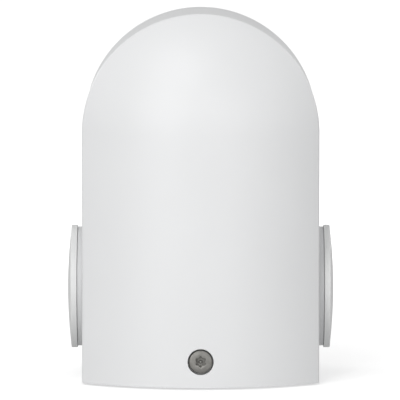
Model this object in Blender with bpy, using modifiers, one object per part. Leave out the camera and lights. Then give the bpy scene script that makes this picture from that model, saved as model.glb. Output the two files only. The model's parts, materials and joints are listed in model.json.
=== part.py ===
"""Mesh wifi node: an arched housing with a bulged front, held between the arms of a tilting U bracket.

Run it with blender --background --python part.py. The front faces -Y, +Z is up, and z = 0 is the soles of the feet.
Sizes are in millimetres; the helpers turn them into metres.
"""

import math

import bmesh
import bpy
from mathutils import Matrix, Vector

MM = 0.001
GAP = 0.3  # left between pieces that touch
OVER = 1.0  # how far a cutter runs past the face it opens
MERGE = 1e-6  # metres

# --- driving dimensions ---
HALF_WIDTH = 50.0
HOUSING_BOTTOM = 0.8  # the feet lift the housing by this much
ARCH_CENTRE = 106.6  # height of the half-round top's centre
FRONT_APEX = -52.0  # y of the bulged front's foremost line
FRONT_EDGE = -33.0  # y where the bulge would meet the flat sides
SEAM = -30.0  # y of the parting plane between cover and housing
BACK = 33.0
CREASE_RADIUS = 2.0
BACK_RADIUS = 5.0
WALL = 2.5
RIM = 5.5  # width of the two rims that meet at the seam

PIVOT_Z = 38.6
CAP_RADIUS = 26.2
ARM_RADIUS = 25.45
ARM_INNER = HALF_WIDTH + GAP
ARM_THICKNESS = 2.0
CAP_BASE = ARM_INNER + ARM_THICKNESS + 0.4  # x of the knob's rim face
STUD_RADIUS = 3.95
PLATE_Y = 50.0  # front face of the bracket's back plate
PLATE_HALF_HEIGHT = 20.0
BEND_RADIUS = 5.0
TILT_LIMIT = 20.0  # degrees each way

SCREW_Z = 11.7
HEAD_RADIUS = 4.95
COUNTERBORE_RADIUS = 5.45
BAY_HALF_WIDTH = 27.0
BAY_FRONT = 2.0
BAY_TOP = 32.0
TRAY_BOTTOM = 4.0
JACK_X = 12.0

BOARD_FRONT = -0.3
BOARD_BACK = 1.3
POSTS = [(x, z) for z in (62.0, 118.0) for x in (-36.0, 36.0)]
HEAT_SINK_SCREWS = [(-25.0, 67.0), (25.0, 119.0)]
CARRIER_FRONT = -22.0
CARRIER_BACK = -20.0
PATCHES = [(-24.0, 40.0), (24.0, 40.0), (-19.0, 124.0), (19.0, 124.0)]
FEET = [(x, y) for y in (-20.0, 24.0) for x in (-40.0, 40.0)]

ARCH_STEPS = 28
ROUND_STEPS = 32
SMALL_STEPS = 16

X, Y, Z = Vector((1, 0, 0)), Vector((0, 1, 0)), Vector((0, 0, 1))


# --- scene, materials and helpers ---
def start():
    for obj in list(bpy.data.objects):
        bpy.data.objects.remove(obj)
    parts = bpy.data.collections.new("mesh_wifi_node")
    bpy.context.scene.collection.children.link(parts)
    return parts


PARTS = start()


def material(name, colour, roughness, metallic=0.0):
    made = bpy.data.materials.new(name)
    made.use_nodes = True
    shader = made.node_tree.nodes["Principled BSDF"]
    shader.inputs["Base Color"].default_value = (*colour, 1.0)
    shader.inputs["Roughness"].default_value = roughness
    shader.inputs["Metallic"].default_value = metallic
    return made


WHITE = material("white_polymer", (0.86, 0.87, 0.88), 0.45)
CAP_WHITE = material("cap_polymer", (0.80, 0.81, 0.80), 0.4)
PAINT = material("bracket_paint", (0.80, 0.81, 0.82), 0.5)
RUBBER = material("grey_rubber", (0.16, 0.16, 0.17), 0.8)
SEAL = material("seal_rubber", (0.05, 0.05, 0.05), 0.7)
STEEL = material("screw_steel", (0.24, 0.235, 0.22), 0.38, 0.9)
BRASS = material("brass", (0.72, 0.55, 0.28), 0.35, 1.0)
ALUMINIUM = material("aluminium", (0.75, 0.76, 0.78), 0.4, 1.0)
TIN = material("tin_plate", (0.70, 0.70, 0.70), 0.3, 1.0)
BOARD = material("board_laminate", (0.02, 0.13, 0.07), 0.45)
BLACK = material("black_polymer", (0.03, 0.03, 0.03), 0.45)
PAD = material("thermal_pad", (0.55, 0.62, 0.70), 0.8)
CLEAR = material("clear_polymer", (0.90, 0.92, 0.94), 0.1)
COAX = material("coax_sheath", (0.10, 0.10, 0.11), 0.5)


def add(name, mesh, paint, location=(0, 0, 0)):
    """A new object in the parts collection. Its location is in millimetres."""
    obj = bpy.data.objects.new(name, mesh)
    obj.location = Vector(location) * MM
    mesh.materials.clear()
    mesh.materials.append(paint)
    PARTS.objects.link(obj)
    bpy.context.view_layer.update()
    return obj


def to_mesh(name, bm):
    bmesh.ops.remove_doubles(bm, verts=bm.verts, dist=MERGE)
    bmesh.ops.recalc_face_normals(bm, faces=bm.faces)
    mesh = bpy.data.meshes.new(name)
    bm.to_mesh(mesh)
    bm.free()
    return mesh


def bake(obj):
    """The object's modifiers, applied, with any vertices they left doubled merged again."""
    paint = obj.data.materials[0]
    graph = bpy.context.evaluated_depsgraph_get()
    mesh = bpy.data.meshes.new_from_object(obj.evaluated_get(graph))
    obj.modifiers.clear()
    bm = bmesh.new()
    bm.from_mesh(mesh)
    bmesh.ops.remove_doubles(bm, verts=bm.verts, dist=MERGE)
    bmesh.ops.dissolve_degenerate(bm, edges=bm.edges, dist=MERGE)
    bm.to_mesh(mesh)
    bm.free()
    obj.data = mesh
    mesh.materials.clear()
    mesh.materials.append(paint)


def combine(target, operation, *tools):
    """Joins, cuts or intersects target with all the tools at once, and removes the tools."""
    group = bpy.data.collections.new("tools")
    for tool in tools:
        group.objects.link(tool)
    modifier = target.modifiers.new(operation, "BOOLEAN")
    modifier.operation = operation
    modifier.solver = "EXACT"
    modifier.operand_type = "COLLECTION"
    modifier.collection = group
    bake(target)
    for tool in tools:
        bpy.data.objects.remove(tool)
    bpy.data.collections.remove(group)
    return target


def cut(target, *tools):
    return combine(target, "DIFFERENCE", *tools)


def join(target, *tools):
    return combine(target, "UNION", *tools)


def smooth(obj, angle=35):
    obj.data.shade_smooth()
    obj.data.set_sharp_from_angle(angle=math.radians(angle))
    return obj


def set_origin(obj, point):
    """Moves the object's origin to a point without moving its shape."""
    shift = Vector(point) * MM - obj.location
    obj.data.transform(Matrix.Translation(-shift))
    obj.location += shift
    return obj


def box(name, low, high, paint=WHITE):
    low, high = Vector(low), Vector(high)
    size = Matrix.Diagonal((*((high - low) * MM), 1))
    bm = bmesh.new()
    bmesh.ops.create_cube(bm, size=1, matrix=size)
    return add(name, to_mesh(name, bm), paint, (low + high) / 2)


def cylinder(name, radius, start_point, end_point, paint=WHITE, steps=SMALL_STEPS):
    """A cylinder between two points on its axis."""
    start_point, end_point = Vector(start_point), Vector(end_point)
    along = end_point - start_point
    bm = bmesh.new()
    bmesh.ops.create_cone(
        bm,
        cap_ends=True,
        segments=steps,
        radius1=radius * MM,
        radius2=radius * MM,
        depth=along.length * MM,
    )
    obj = add(name, to_mesh(name, bm), paint, (start_point + end_point) / 2)
    obj.rotation_euler = along.to_track_quat("Z", "Y").to_euler()
    bpy.context.view_layer.update()
    return obj


def turned(name, profile, origin, direction, paint, steps=ROUND_STEPS):
    """A (radius, height) profile turned with a Screw modifier. It runs down the outer side and back up the inner."""
    closed = profile[0][0] > 0 or profile[-1][0] > 0
    bm = bmesh.new()
    points = [bm.verts.new((r * MM, 0, h * MM)) for r, h in profile]
    pairs = list(zip(points, points[1:])) + ([(points[-1], points[0])] if closed else [])
    for pair in pairs:
        bm.edges.new(pair)
    mesh = bpy.data.meshes.new(name)
    bm.to_mesh(mesh)
    bm.free()
    obj = add(name, mesh, paint, origin)
    screw = obj.modifiers.new("turn", "SCREW")
    screw.steps = screw.render_steps = steps
    screw.use_merge_vertices = True
    screw.merge_threshold = 1e-5
    bake(obj)
    obj.rotation_euler = Vector(direction).to_track_quat("Z", "Y").to_euler()
    bpy.context.view_layer.update()
    return obj


def prism(name, outline, along, low, high, paint=WHITE):
    """A flat outline extruded along X, Y or Z. Its two numbers are the other two axes in X, Y, Z order."""
    place = {
        "X": lambda u, v, depth: (depth, u, v),
        "Y": lambda u, v, depth: (u, depth, v),
        "Z": lambda u, v, depth: (u, v, depth),
    }[along]
    bm = bmesh.new()
    face = bm.faces.new([bm.verts.new(Vector(place(u, v, low)) * MM) for u, v in outline])
    raised = bmesh.ops.extrude_face_region(bm, geom=[face])["geom"]
    lift = Vector(place(0, 0, high - low)) * MM
    bmesh.ops.translate(bm, verts=[v for v in raised if isinstance(v, bmesh.types.BMVert)], vec=lift)
    return add(name, to_mesh(name, bm), paint)


def arc(centre, radius, first, last, steps):
    """Points on a circle, between two angles in degrees."""
    angles = [math.radians(first + (last - first) * i / steps) for i in range(steps + 1)]
    return [(centre[0] + radius * math.cos(a), centre[1] + radius * math.sin(a)) for a in angles]


def arch_solid(name, profile, bottom, paint=WHITE):
    """A (half-width, y) profile turned half round the arch's centre and run straight down to the bottom."""
    bm = bmesh.new()
    points = [bm.verts.new(Vector((r, y, ARCH_CENTRE)) * MM) for r, y in profile]
    edges = [bm.edges.new(pair) for pair in zip(points, points[1:])]
    spun = bmesh.ops.spin(
        bm,
        geom=points + edges,
        cent=(0, 0, ARCH_CENTRE * MM),
        axis=(0, -1, 0),
        angle=math.pi,
        steps=ARCH_STEPS,
    )
    ends = edges + [e for e in spun["geom_last"] if isinstance(e, bmesh.types.BMEdge)]
    lowered = bmesh.ops.extrude_edge_only(bm, edges=ends)["geom"]
    drop = Vector((0, 0, bottom - ARCH_CENTRE)) * MM
    bmesh.ops.translate(bm, verts=[v for v in lowered if isinstance(v, bmesh.types.BMVert)], vec=drop)
    for vert in bm.verts:
        vert.co = [round(value, 7) for value in vert.co]  # keeps the flat faces exactly flat
    bmesh.ops.remove_doubles(bm, verts=bm.verts, dist=MERGE)
    bmesh.ops.dissolve_degenerate(bm, edges=bm.edges, dist=MERGE)
    bmesh.ops.holes_fill(bm, edges=[e for e in bm.edges if e.is_boundary], sides=0)
    bmesh.ops.dissolve_limit(bm, angle_limit=math.radians(0.02), verts=bm.verts, edges=bm.edges)
    return add(name, to_mesh(name, bm), paint)


def slab(half_width, front, back, bottom, name="tool", paint=WHITE):
    """A flat arched plate or cavity."""
    outline = arc((0, ARCH_CENTRE), half_width, 0, 180, ARCH_STEPS)
    outline += [(-half_width, bottom), (half_width, bottom)]
    return prism(name, outline, "Y", front, back, paint)


def arch_ring(half_width, inner, front, back, bottom, name="tool", paint=WHITE):
    """A flat arched ring, the same width all round."""
    hole = slab(inner, front - OVER, back + OVER, bottom + half_width - inner)
    return cut(slab(half_width, front, back, bottom, name, paint), hole)


def bulge_arc(half_width, apex, edge, steps, reach=None):
    """Points of the bulge's circle, from the centre line outwards, and that circle's centre y and radius."""
    rise = edge - apex
    radius = (half_width**2 + rise**2) / (2 * rise)
    end = math.asin((reach or half_width) / radius)
    angles = [end * i / steps for i in range(steps + 1)]
    points = [(radius * math.sin(a), apex + radius * (1 - math.cos(a))) for a in angles]
    return points, apex + radius, radius


# --- housing ---
def front_profile():
    """The bulge, its rounded edge, and the side back to the seam."""
    _, centre, radius = bulge_arc(HALF_WIDTH, FRONT_APEX, FRONT_EDGE, 1)
    fillet_x = HALF_WIDTH - CREASE_RADIUS
    start_angle = math.asin(fillet_x / (radius - CREASE_RADIUS))
    fillet_y = centre - (radius - CREASE_RADIUS) * math.cos(start_angle)
    bulge, _, _ = bulge_arc(HALF_WIDTH, FRONT_APEX, FRONT_EDGE, 8, radius * math.sin(start_angle))
    edge = arc((fillet_x, fillet_y), CREASE_RADIUS, math.degrees(start_angle) - 90, 0, 3)
    return bulge[:-1] + edge


def front_cover():
    lip_outer = HALF_WIDTH - RIM - GAP
    lip_inner = lip_outer - 1.5
    lip_end = SEAM + 3.5
    seam = SEAM - GAP
    cover = arch_solid(
        "front_cover",
        front_profile() + [(HALF_WIDTH, seam), (lip_outer, seam), (lip_outer, lip_end), (0, lip_end)],
        HOUSING_BOTTOM,
    )
    lip_bottom = HOUSING_BOTTOM + HALF_WIDTH - lip_outer
    below_lip = box("tool", (-60, seam, -OVER), (60, 0, lip_bottom))
    screw_post_notch = box("tool", (-9.6, seam, -OVER), (9.6, 0, 20))
    inner = HALF_WIDTH - WALL - 0.5
    cavity_arc, _, _ = bulge_arc(inner, FRONT_APEX + WALL, FRONT_EDGE - 2.5, 5)
    cavity = arch_solid(
        "tool", cavity_arc + [(inner, SEAM - 3.3), (0, SEAM - 3.3)], HOUSING_BOTTOM + WALL + 0.5
    )
    mouth = slab(lip_inner, SEAM - 4.3, lip_end + OVER, HOUSING_BOTTOM + HALF_WIDTH - lip_inner)
    cut(cover, below_lip, screw_post_notch, cavity, mouth)
    join(cover, cylinder("tool", 7.0, (0, FRONT_APEX + 1.5, SCREW_Z), (0, seam, SCREW_Z), steps=24))
    hole_floor = (0, FRONT_APEX + 4.6, SCREW_Z)
    counterbore = cylinder("tool", COUNTERBORE_RADIUS, (0, -60, SCREW_Z), hole_floor, steps=ROUND_STEPS)
    clearance = cylinder("tool", 2.9, (0, -50, SCREW_Z), (0, -20, SCREW_Z))
    return smooth(cut(cover, counterbore, clearance))


def rear_housing():
    profile = [(0, SEAM), (HALF_WIDTH, SEAM)]
    profile += arc((HALF_WIDTH - BACK_RADIUS, BACK - BACK_RADIUS), BACK_RADIUS, 0, 90, 4)
    housing = arch_solid("rear_housing", profile + [(0, BACK)], HOUSING_BOTTOM)
    inside = slab(HALF_WIDTH - WALL, SEAM + 4, BACK - WALL, HOUSING_BOTTOM + WALL)
    mouth = slab(HALF_WIDTH - RIM, SEAM - OVER, SEAM + 5, HOUSING_BOTTOM + RIM)
    cut(housing, inside, mouth)
    open_bay(housing)
    cut(housing, arch_ring(48.4, 46.4, SEAM - OVER, SEAM + 1.6, HOUSING_BOTTOM + 1.6))
    add_posts(housing)
    for side in (-1, 1):
        add_pivot(housing, side)
    cut(housing, *[foot_recess(x, y) for x, y in FEET])
    vent = turned("tool", [(0, 6), (2.0, 6), (2.0, 2.1), (4.3, 2.1), (4.3, 0), (0, 0)], (0, -12, 0), Z, WHITE, 16)
    cut(housing, vent)
    return smooth(cut(housing, *back_grooves()))


def open_bay(housing):
    """The bay's mouth in the floor with a rabbet for its cover, the cable notch behind, and the screw insert's boss."""
    join(housing, box("tool", (-9, SEAM, HOUSING_BOTTOM + 1), (9, -14, 19)))
    side = BAY_HALF_WIDTH
    mouth = box("tool", (-side, BAY_FRONT, -OVER), (side, BACK + OVER, 5))
    notch = box("tool", (-side, BACK - 4, 1), (side, BACK + OVER, 16.3))
    rabbet = box("tool", (-side - 1.8, BAY_FRONT, 2.2), (side + 1.8, BACK + OVER, TRAY_BOTTOM))
    insert = cylinder("tool", 4.3, (0, SEAM - OVER, SCREW_Z), (0, -19.5, SCREW_Z), steps=20)
    cut(housing, mouth, notch, rabbet, insert)


def port_tray():
    """The bay's front, sides and ceiling, standing just above the housing's floor, with cut-outs for the sockets."""
    outer = BAY_HALF_WIDTH + 3.2
    tray = box("port_tray", (-outer, 0, TRAY_BOTTOM), (outer, BACK - WALL - GAP, BAY_TOP + 2))
    side = BAY_HALF_WIDTH
    hollow = box("tool", (-side, BAY_FRONT, TRAY_BOTTOM - OVER), (side, BACK, BAY_TOP))
    jacks = [
        box("tool", (x * JACK_X - 8.3, BOARD_BACK, BAY_TOP - OVER), (x * JACK_X + 8.3, 15.4, BAY_TOP + 3))
        for x in (-1, 1)
    ]
    power = box("tool", (21.7, BOARD_BACK, BAY_TOP - OVER), (25.5, 10.9, BAY_TOP + 3))
    reset = cylinder("tool", 2.3, (0, 8, BAY_TOP - OVER), (0, 8, BAY_TOP + 3))
    cut(tray, hollow, *jacks, power, reset)


def add_posts(housing):
    """Four posts on the back wall hold the board, each with a pilot hole for a standoff's thread."""
    join(housing, *[cylinder("tool", 4.0, (x, BOARD_BACK + GAP, z), (x, BACK - 1, z)) for x, z in POSTS])
    cut(housing, *[cylinder("tool", 1.8, (x, 0, z), (x, 10, z), steps=12) for x, z in POSTS])


def add_pivot(housing, side):
    """A boss for the threaded insert, a recess for the friction disc, and the pin that stops the tilt."""

    def on_axis(x):
        return (side * x, 0, PIVOT_Z)

    join(housing, cylinder("tool", 9.5, on_axis(35.5), on_axis(48.8), steps=24))
    disc = cylinder("tool", 15.3, on_axis(48.5), on_axis(60), steps=ROUND_STEPS)
    passage = cylinder("tool", 4.6, on_axis(44), on_axis(55), steps=20)
    seat = cylinder("tool", 6.3, on_axis(36.7), on_axis(47.3), steps=24)
    cut(housing, disc, passage, seat)
    pin_z = PIVOT_Z + 19
    join(housing, cylinder("tool", 1.8, (side * 49, 0, pin_z), (side * 51.9, 0, pin_z)))


def foot_recess(x, y):
    return cylinder("tool", 5.3, (x, y, -OVER), (x, y, 2.3), steps=24)


def back_grooves():
    """Shallow upright grooves in the back's upper half; the outer ones are shorter, to follow the arch."""
    grooves = []
    for i in range(-4, 5):
        x = i * 7.0
        top = ARCH_CENTRE + math.sqrt(36.0**2 - x**2)
        grooves.append(box("tool", (x - 1.1, BACK - 0.9, 74), (x + 1.1, BACK + OVER, top)))
    return grooves


def seal_and_feet():
    arch_ring(48.1, 46.7, SEAM, SEAM + 1.3, HOUSING_BOTTOM + 1.9, "cover_gasket", SEAL)
    sole = [(0, 2.0), (5.0, 2.0), (5.0, 0.5), (4.5, 0), (0, 0)]
    for number, (x, y) in enumerate(FEET, 1):
        smooth(turned(f"foot_{number}", sole, (x, y, 0), Z, RUBBER, 24))
    plug = [(0, 5), (1.7, 5), (1.7, 1.8), (4.0, 1.8), (4.0, 1.0), (0, 1.0)]
    turned("pressure_vent", plug, (0, -12, 0), Z, BLACK, 16)


# --- cover screw ---
def cover_screw():
    """A pan-head M5 screw with a six-lobe recess and a centre pin, and the insert that it bites in."""
    face = FRONT_APEX + 1.0
    under_head = FRONT_APEX + 4.3
    head = under_head - face
    rim = HEAD_RADIUS
    profile = [(0, head), (rim - 1.0, head), (rim - 0.3, head - 0.3), (rim, head - 0.8), (rim, 0)]
    profile += [(2.45, 0), (2.45, -23.5), (1.9, -25), (0, -25)]
    screw = turned("cover_screw", profile, (0, under_head, SCREW_Z), -Y, STEEL)
    lobes = 36
    outline = []
    for i in range(lobes):
        a = 2 * math.pi * i / lobes
        r = 1.94 + 0.31 * math.cos(6 * a)
        outline.append((r * math.sin(a), SCREW_Z + r * math.cos(a)))
    recess = prism("tool", outline, "Y", face - OVER, face + 1.8)
    cut(screw, recess)
    join(screw, cylinder("tool", 0.6, (0, face + 0.4, SCREW_Z), (0, face + 2.4, SCREW_Z), steps=10))
    smooth(screw)
    ring = [(4.0, 9.9), (4.0, 6), (3.5, 5.5), (3.5, 4.5), (4.0, 4), (4.0, 0), (2.75, 0), (2.75, 9.9)]
    smooth(turned("cover_screw_insert", ring, (0, SEAM + 0.1, SCREW_Z), Y, BRASS, 20))


# --- pivots ---
def pivot_set(side, word):
    """Friction disc, threaded insert, threaded stud and domed knob on one side's tilt axis."""
    out = X * side

    def at(x):
        return (side * x, 0, PIVOT_Z)

    disc = [(15.0, 1.2), (15.0, 0), (4.6, 0), (4.6, 1.2)]
    smooth(turned(f"friction_disc_{word}", disc, at(48.8), out, SEAL))
    ring = [(6.0, 10), (6.0, 6), (5.5, 5.5), (5.5, 4.5), (6.0, 4), (6.0, 0), (4.25, 0), (4.25, 10)]
    smooth(turned(f"pivot_insert_{word}", ring, at(37.0), out, BRASS, 24))
    stud = [(0, 1.9), (8.4, 1.9), (9.0, 1.5), (9.0, -0.1), (STUD_RADIUS, -0.1)]
    stud += [(STUD_RADIUS, -13.8), (3.2, -14.6), (0, -14.6)]
    smooth(turned(f"clamp_stud_{word}", stud, at(CAP_BASE), out, TIN, 24))
    smooth(turned(f"clamp_knob_{word}", knob_profile(), at(CAP_BASE), out, CAP_WHITE, 40))


def knob_profile():
    """A shallow dome on a thin rim, hollow inside but for the hub that grips the stud's flange."""
    apex, rim, wall = 3.95, 2.3, 1.5
    radius = (CAP_RADIUS**2 + (apex - rim) ** 2) / (2 * (apex - rim))

    def dome(r):
        return apex - radius + math.sqrt(radius**2 - r**2)

    outer = [(r, dome(r)) for r in (0, 8, 16, 22, 25.4)]
    edge = [(CAP_RADIUS, rim - 0.35), (CAP_RADIUS, 0.3), (CAP_RADIUS - 0.3, 0)]
    roof = [(r, dome(r) - wall) for r in (24.2, 18, 12)]
    hub = [(12, 0), (9.3, 0), (9.3, 2.2), (0, 2.2)]
    return outer + edge + [(24.2, 0)] + roof + hub


def bracket():
    """One bent sheet: a channel in plan, trimmed to round-ended arms from the side."""
    outer = ARM_INNER + ARM_THICKNESS
    front, back = -30.0, PLATE_Y
    bend_x, bend_y = ARM_INNER - BEND_RADIUS, back - BEND_RADIUS
    plan = [(outer, front), (outer, bend_y)]
    plan += arc((bend_x, bend_y), BEND_RADIUS + ARM_THICKNESS, 0, 90, 5)[1:]
    plan += [(-x, y) for x, y in reversed(plan)]
    inside = [(ARM_INNER, front), (ARM_INNER, bend_y)] + arc((bend_x, bend_y), BEND_RADIUS, 0, 90, 5)[1:]
    plan += [(-x, y) for x, y in inside] + list(reversed(inside))
    made = prism("bracket", plan, "Z", PIVOT_Z - 30, PIVOT_Z + 30, PAINT)

    corner = Vector((44.0, PLATE_HALF_HEIGHT))
    lean = math.degrees(math.atan2(corner.y, corner.x) + math.acos(ARM_RADIUS / corner.length))
    side_view = arc((0, PIVOT_Z), ARM_RADIUS, lean, 360 - lean, 36)
    low, high = PIVOT_Z - PLATE_HALF_HEIGHT, PIVOT_Z + PLATE_HALF_HEIGHT
    side_view += [(corner.x, low), (60, low), (60, high), (corner.x, high)]
    combine(made, "INTERSECT", prism("tool", side_view, "X", -60, 60))

    slot = tilt_slot()
    holes = [prism("tool", slot, "X", side * 55, side * 45) for side in (-1, 1)]
    holes.append(cylinder("tool", 4.6, (-60, 0, PIVOT_Z), (60, 0, PIVOT_Z), steps=24))
    for x in (-34, 34):
        for z in (-12, 12):
            holes.append(cylinder("tool", 2.5, (x, 45, PIVOT_Z + z), (x, 55, PIVOT_Z + z)))
    for x in (-18, 18):
        holes.append(box("tool", (x - 1.5, 45, PIVOT_Z - 12), (x + 1.5, 55, PIVOT_Z + 12)))
    cut(made, *holes)
    return smooth(set_origin(made, (0, 0, PIVOT_Z)))


def tilt_slot():
    """The arms' curved slot for the housing's stop pin, as a (y, z) outline."""
    pin_track, half_width = 19.0, 2.2
    play = math.degrees((half_width - 1.8) / pin_track)
    first, last = 90 - TILT_LIMIT - play, 90 + TILT_LIMIT + play
    centre = (0, PIVOT_Z)
    outline = arc(centre, pin_track + half_width, first, last, 8)
    turn_point = arc(centre, pin_track, last, last, 1)[0]
    outline += arc(turn_point, half_width, last, last + 180, 6)[1:-1]
    outline += arc(centre, pin_track - half_width, last, first, 8)
    turn_point = arc(centre, pin_track, first, first, 1)[0]
    outline += arc(turn_point, half_width, first + 180, first + 360, 6)[1:-1]
    return outline


# --- port bay ---
def port_cover():
    """A plate that slides back out of the bay's grooves, with an upright tab that closes the cable notch."""
    side = BAY_HALF_WIDTH - GAP
    front = BAY_FRONT + GAP
    cover = box("port_cover", (-side, front, 1.2), (side, BACK, 3.7))
    tongues = box("tool", (-28.5, front, 2.5), (28.5, BACK, 3.7))
    tab = box("tool", (-side, BACK - 2.0, 1.4), (side, BACK, 16.0))
    join(cover, tongues, tab)
    grips = [box("tool", (-12, y, 0), (12, y + 1.2, 1.7)) for y in (20, 23, 26)]
    hole = cylinder("tool", 4.5, (0, 20, 10), (0, 40, 10), steps=24)
    cut(cover, *grips, hole)
    grommet = [(5.5, 3.4), (5.5, 2.5), (4.2, 2.3), (4.2, -0.3), (5.5, -0.5), (5.5, -1.3), (2.2, -1.3), (2.2, 3.4)]
    smooth(turned("cable_grommet", grommet, (0, BACK - 2.0, 10), Y, SEAL, 24))
    return cover


def sockets():
    """Two network sockets and a power socket, all facing down into the bay."""
    floor = BAY_TOP + GAP
    back = BOARD_BACK + GAP
    for side, word in ((-1, "left"), (1, "right")):
        x = side * JACK_X
        jack = box(f"network_jack_{word}", (x - 8, back, floor), (x + 8, 15.1, floor + 21.3), TIN)
        mouth = box("tool", (x - 5.9, 4.5, floor - OVER), (x + 5.9, 12.5, floor + 13.5))
        latch = box("tool", (x - 3, 12, floor - OVER), (x + 3, 14.2, floor + 13.5))
        cut(jack, mouth, latch)
    power = box("power_jack", (22, back, floor), (25.2, 10.6, floor + 8), TIN)
    cut(power, box("tool", (22.35, 1.95, floor - OVER), (24.85, 10.25, floor + 6.8)))
    join(power, box("tool", (23.25, 3.2, floor + 0.8), (23.95, 9.0, floor + 7.2)))


def reset_parts():
    plunger = [(0, 36.0), (1.5, 36.0), (1.5, 35.3), (3.0, 35.3), (3.0, 34.3), (2.0, 34.3), (2.0, 31.5), (1.7, 31.2), (0, 31.2)]
    smooth(turned("reset_button", plunger, (0, 8, 0), Z, BLACK, 16))
    box("reset_switch", (-3, BOARD_BACK + GAP, 38), (3, 11, 41.5), BLACK)


# --- electronics ---
def main_board():
    arch = arc((0, ARCH_CENTRE), 42, 0, 180, 24)
    outline = [(-30, 35.5), (30, 35.5), (30, 52), (34, 54), (42, 54), *arch, (-42, 54), (-34, 54), (-30, 52)]
    board = prism("main_board", outline, "Y", BOARD_FRONT, BOARD_BACK, BOARD)
    holes = [cylinder("tool", 1.9, (x, -5, z), (x, 5, z), steps=12) for x, z in POSTS + HEAT_SINK_SCREWS]
    return cut(board, *holes)


def shielding():
    front = BOARD_FRONT - GAP
    cans = {
        "radio_shield_left": ((-38, 72), (-8, 94), 2.2),
        "radio_shield_right": ((8, 72), (38, 94), 2.2),
        "radio_shield_top": ((-20, 100), (20, 122), 2.2),
    }
    for name, (low, high, depth) in cans.items():
        box(name, (low[0], front - depth, low[1]), (high[0], front, high[1]), TIN)
    for side, word in ((-1, "left"), (1, "right")):
        x = side * 16
        box(f"line_transformer_{word}", (x - 8, front - 5, 44), (x + 8, front, 52), BLACK)
    box("processor_shield", (-16, BOARD_BACK + GAP, 80), (16, 3.6, 106), TIN)
    box("thermal_pad", (-14, 3.9, 82), (14, 4.7, 104), PAD)


def heat_sink():
    """A base plate with upright fins, held through the board by two screws."""
    sink = box("heat_sink", (-28, 5, 62), (28, 8, 124), ALUMINIUM)
    fins = [box("tool", (i * 6.5 - 0.8, 7, 62), (i * 6.5 + 0.8, 25, 124)) for i in range(-4, 5)]
    join(sink, *fins)
    cut(sink, *[cylinder("tool", 1.7, (x, 4, z), (x, 12, z), steps=12) for x, z in HEAT_SINK_SCREWS])
    profile = [(0, 2), (2.6, 2), (2.8, 1.6), (2.8, 0), (1.4, 0), (1.4, -8), (0, -8)]
    for number, (x, z) in enumerate(HEAT_SINK_SCREWS, 1):
        turned(f"heat_sink_screw_{number}", profile, (x, BOARD_FRONT - GAP, z), -Y, STEEL, 12)


def status_light():
    box("status_led", (-1.5, -1.5, 59), (1.5, BOARD_FRONT - GAP, 61), CLEAR)
    reach = FRONT_APEX + WALL + 0.6
    pipe = turned(
        "light_pipe",
        [(0, -0.6 - reach), (2.0, -0.6 - reach), (2.0, 2.8), (4.0, 2.8), (4.0, 0), (2.8, 0), (2.8, 1.6), (0, 1.6)],
        (0, BOARD_FRONT - GAP, 60),
        -Y,
        CLEAR,
        16,
    )
    smooth(pipe)


# --- antennas ---
def antenna_carrier():
    """An arched plate on four standoffs, with a window in its middle."""
    carrier = slab(42, CARRIER_FRONT, CARRIER_BACK, 24, "antenna_carrier", BLACK)
    window = box("tool", (-20, CARRIER_FRONT - OVER, 56), (20, CARRIER_BACK + OVER, 108))
    holes = [cylinder("tool", 1.9, (x, -25, z), (x, -15, z), steps=12) for x, z in POSTS]
    feeds = [cylinder("tool", 1.2, (x, -25, z), (x, -15, z), steps=12) for x, z in PATCHES]
    cut(carrier, window, *holes, *feeds)
    hexagon = 6
    for number, (x, z) in enumerate(POSTS, 1):
        front, foot = CARRIER_BACK + GAP, BOARD_FRONT - GAP
        post = cylinder(f"standoff_{number}", 3.0, (x, foot, z), (x, front, z), BRASS, hexagon)
        join(post, cylinder("tool", 1.45, (x, foot - 1, z), (x, 7, z), steps=12))
        cut(post, cylinder("tool", 1.7, (x, front - OVER, z), (x, -12, z), steps=12))
        head = [(0, 2), (2.4, 2), (2.7, 1.5), (2.7, 0), (1.4, 0), (1.4, -9), (0, -9)]
        turned(f"carrier_screw_{number}", head, (x, CARRIER_FRONT - GAP, z), -Y, STEEL, 12)


def antennas():
    """A patch on a post in front of the carrier at each place, and its coaxial lead to the board."""
    feed_ends = [(-30, 66), (30, 66), (-28, 97), (28, 97)]
    for number, ((x, z), (end_x, end_z)) in enumerate(zip(PATCHES, feed_ends), 1):
        patch = box(f"antenna_{number}", (x - 11, -29, z - 11), (x + 11, -28, z + 11), BRASS)
        post = cylinder("tool", 2.5, (x, -28.5, z), (x, CARRIER_FRONT - GAP, z), steps=12)
        join(patch, post)
        slots = [box("tool", (x - 7, -30, z + s - 0.5), (x + 7, -27, z + s + 0.5)) for s in (-6, 6)]
        cut(patch, *slots)
        route = [(x, -19.4, z), (x, -15, z), ((x + end_x) / 2, -12, (z + end_z) / 2), (end_x, -10, end_z), (end_x, -3, end_z)]
        coax_lead(f"antenna_lead_{number}", route)


def smooth_route(route, steps):
    """Points on a curve through the route's own points (Catmull-Rom)."""
    ends = [Vector(p) for p in (route[0], *route, route[-1])]
    points = []
    for p0, p1, p2, p3 in zip(ends, ends[1:], ends[2:], ends[3:]):
        for i in range(steps):
            t = i / steps
            points.append(
                (2 * p1 + (p2 - p0) * t + (2 * p0 - 5 * p1 + 4 * p2 - p3) * t**2 + (3 * p1 - p0 - 3 * p2 + p3) * t**3) / 2
            )
    return points + [ends[-2]]


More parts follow.
